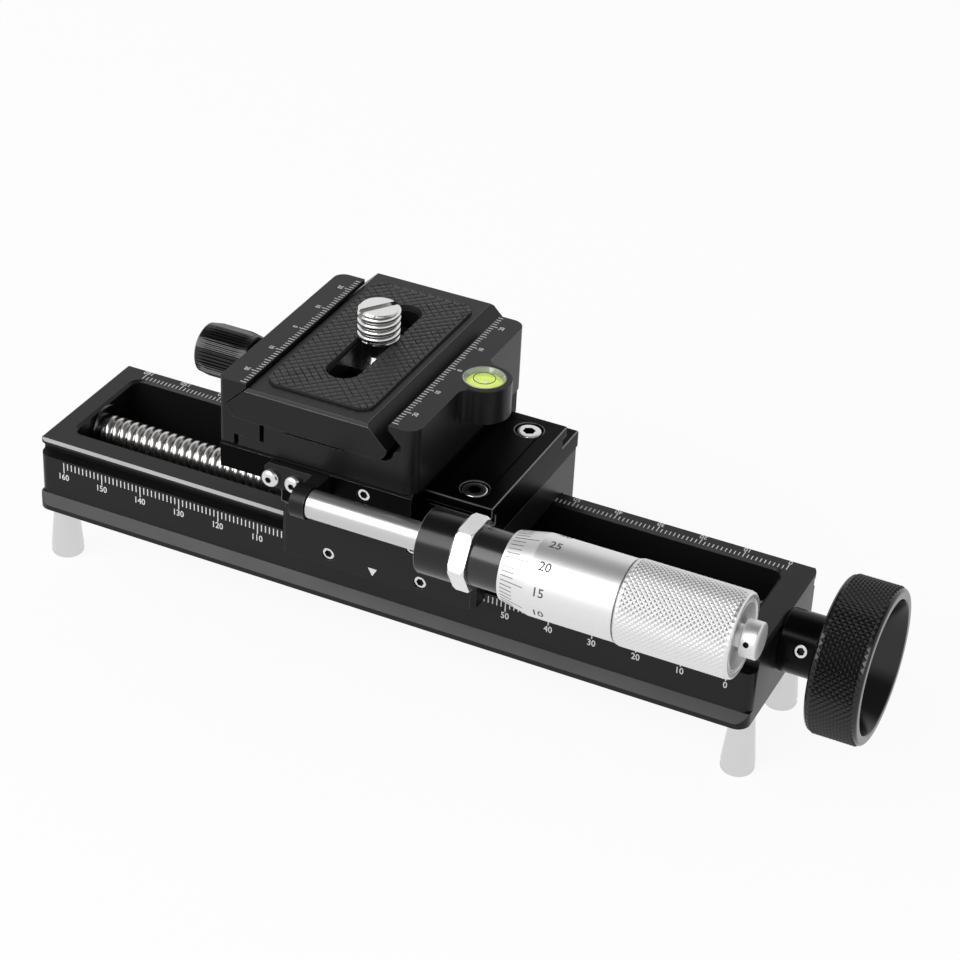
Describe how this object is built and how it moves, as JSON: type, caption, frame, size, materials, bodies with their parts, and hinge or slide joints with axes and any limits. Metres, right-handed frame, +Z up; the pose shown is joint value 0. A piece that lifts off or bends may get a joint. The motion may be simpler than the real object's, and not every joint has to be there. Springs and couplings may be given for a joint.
{
  "type": "macro focus rail",
  "caption": "Focus rail: lead-screw carriage with a micrometer-driven fine slide, quick-release clamp, bubble level and camera plate on a scaled rail with feet.",
  "frame": {"origin": "centre of the main tripod thread's mouth in the underside of the rail", "axes": "+X along the rail towards the hand wheel, +Y away from the micrometer head, +Z up towards the camera"},
  "size_m": [0.1953, 0.0771, 0.0748],
  "materials": {
    "black_anodised": "black satin anodised",
    "black_gloss": "black gloss anodised",
    "satin_aluminium": "satin chrome",
    "steel": "turned stainless",
    "bright_steel": "polished",
    "brass": "machined",
    "rubber": "ribbed black",
    "vial": "clear over yellow-green liquid"
  },
  "bodies": {
    "rail": {"rail_body": "black_anodised", "foot_left_front": "satin_aluminium", "foot_left_back": "satin_aluminium", "foot_right_front": "satin_aluminium", "foot_right_back": "satin_aluminium", "bearing_left": "brass", "bearing_right": "brass"},
    "lead_screw": {"lead_screw": "steel", "hand_wheel": "black_anodised", "wheel_set_screw": "steel"},
    "carriage": {"saddle": "black_anodised", "saddle_gib": "brass", "gib_set_screws": "steel", "lead_nut": "brass", "nut_screws": "steel", "track_plate": "black_anodised", "track_screws": "steel", "ring_bracket": "black_anodised", "ring_screws": "steel", "sleeve": "black_gloss", "lock_nut": "bright_steel"},
    "spindle": {"spindle": "bright_steel"},
    "thimble": {"thimble": "satin_aluminium", "thimble_grip": "satin_aluminium"},
    "ratchet_stop": {"ratchet_stop": "satin_aluminium"},
    "fine_slide": {"fine_slide": "black_anodised", "slide_gib": "brass", "slide_set_screw": "steel", "stop_bracket": "black_anodised", "bracket_screws": "steel", "clamp_base": "black_anodised", "clamp_screws": "steel", "bubble_level": "vial", "guide_pins": "steel"},
    "clamp_jaw": {"clamp_jaw": "black_anodised"},
    "clamp_knob": {"clamp_knob": "black_anodised", "clamp_bolt": "steel"},
    "plate": {"quick_release_plate": "black_anodised", "plate_pad": "rubber"},
    "screw_retainer": {"screw_retainer": "steel"},
    "camera_screw": {"camera_screw": "steel"}
  },
  "joints": [
    {"name": "lead_screw_turn", "type": "hinge", "parent": "rail", "child": "lead_screw", "pos_m": [0, 0, 0.011], "axis": [1, 0, 0], "range_deg": [-10450, 11530]},
    {"name": "carriage_slide", "type": "slide", "parent": "rail", "child": "carriage", "axis": [1, 0, 0], "range_m": [-0.064, 0.058]},
    {"name": "spindle_slide", "type": "slide", "parent": "carriage", "child": "spindle", "axis": [1, 0, 0], "range_m": [-0.006, 0.019]},
    {"name": "thimble_turn", "type": "hinge", "parent": "spindle", "child": "thimble", "pos_m": [0.06, -0.03435, 0.0336], "axis": [1, 0, 0], "range_deg": [-4330, 13690]},
    {"name": "ratchet_turn", "type": "hinge", "parent": "thimble", "child": "ratchet_stop", "pos_m": [0.09, -0.03435, 0.0336], "axis": [1, 0, 0], "continuous": true},
    {"name": "fine_slide", "type": "slide", "parent": "carriage", "child": "fine_slide", "axis": [1, 0, 0], "range_m": [-0.006, 0.019]},
    {"name": "jaw_slide", "type": "slide", "parent": "fine_slide", "child": "clamp_jaw", "axis": [1, 0, 0], "range_m": [-0.003, 0.001]},
    {"name": "knob_turn", "type": "hinge", "parent": "clamp_jaw", "child": "clamp_knob", "pos_m": [-0.045, 0, 0.041], "axis": [1, 0, 0], "range_deg": [-2170, 730]},
    {"name": "plate_slide", "type": "slide", "parent": "clamp_jaw", "child": "plate", "axis": [0, 1, 0], "range_m": [-0.02, 0.02]},
    {"name": "retainer_slide", "type": "slide", "parent": "plate", "child": "screw_retainer", "axis": [0, 1, 0], "range_m": [-0.0155, 0.012]},
    {"name": "camera_screw_turn", "type": "hinge", "parent": "screw_retainer", "child": "camera_screw", "pos_m": [-0.0141, 0.0063, 0.0556], "axis": [0, 0, 1], "continuous": true}
  ],
  "couplings": [
    {"joint": "lead_screw_turn", "follows": "carriage_slide", "rad_per_m": -3141.6},
    {"joint": "spindle_slide", "follows": "fine_slide", "ratio": 1},
    {"joint": "thimble_turn", "follows": "fine_slide", "rad_per_m": 12566},
    {"joint": "knob_turn", "follows": "jaw_slide", "rad_per_m": 12566}
  ]
}
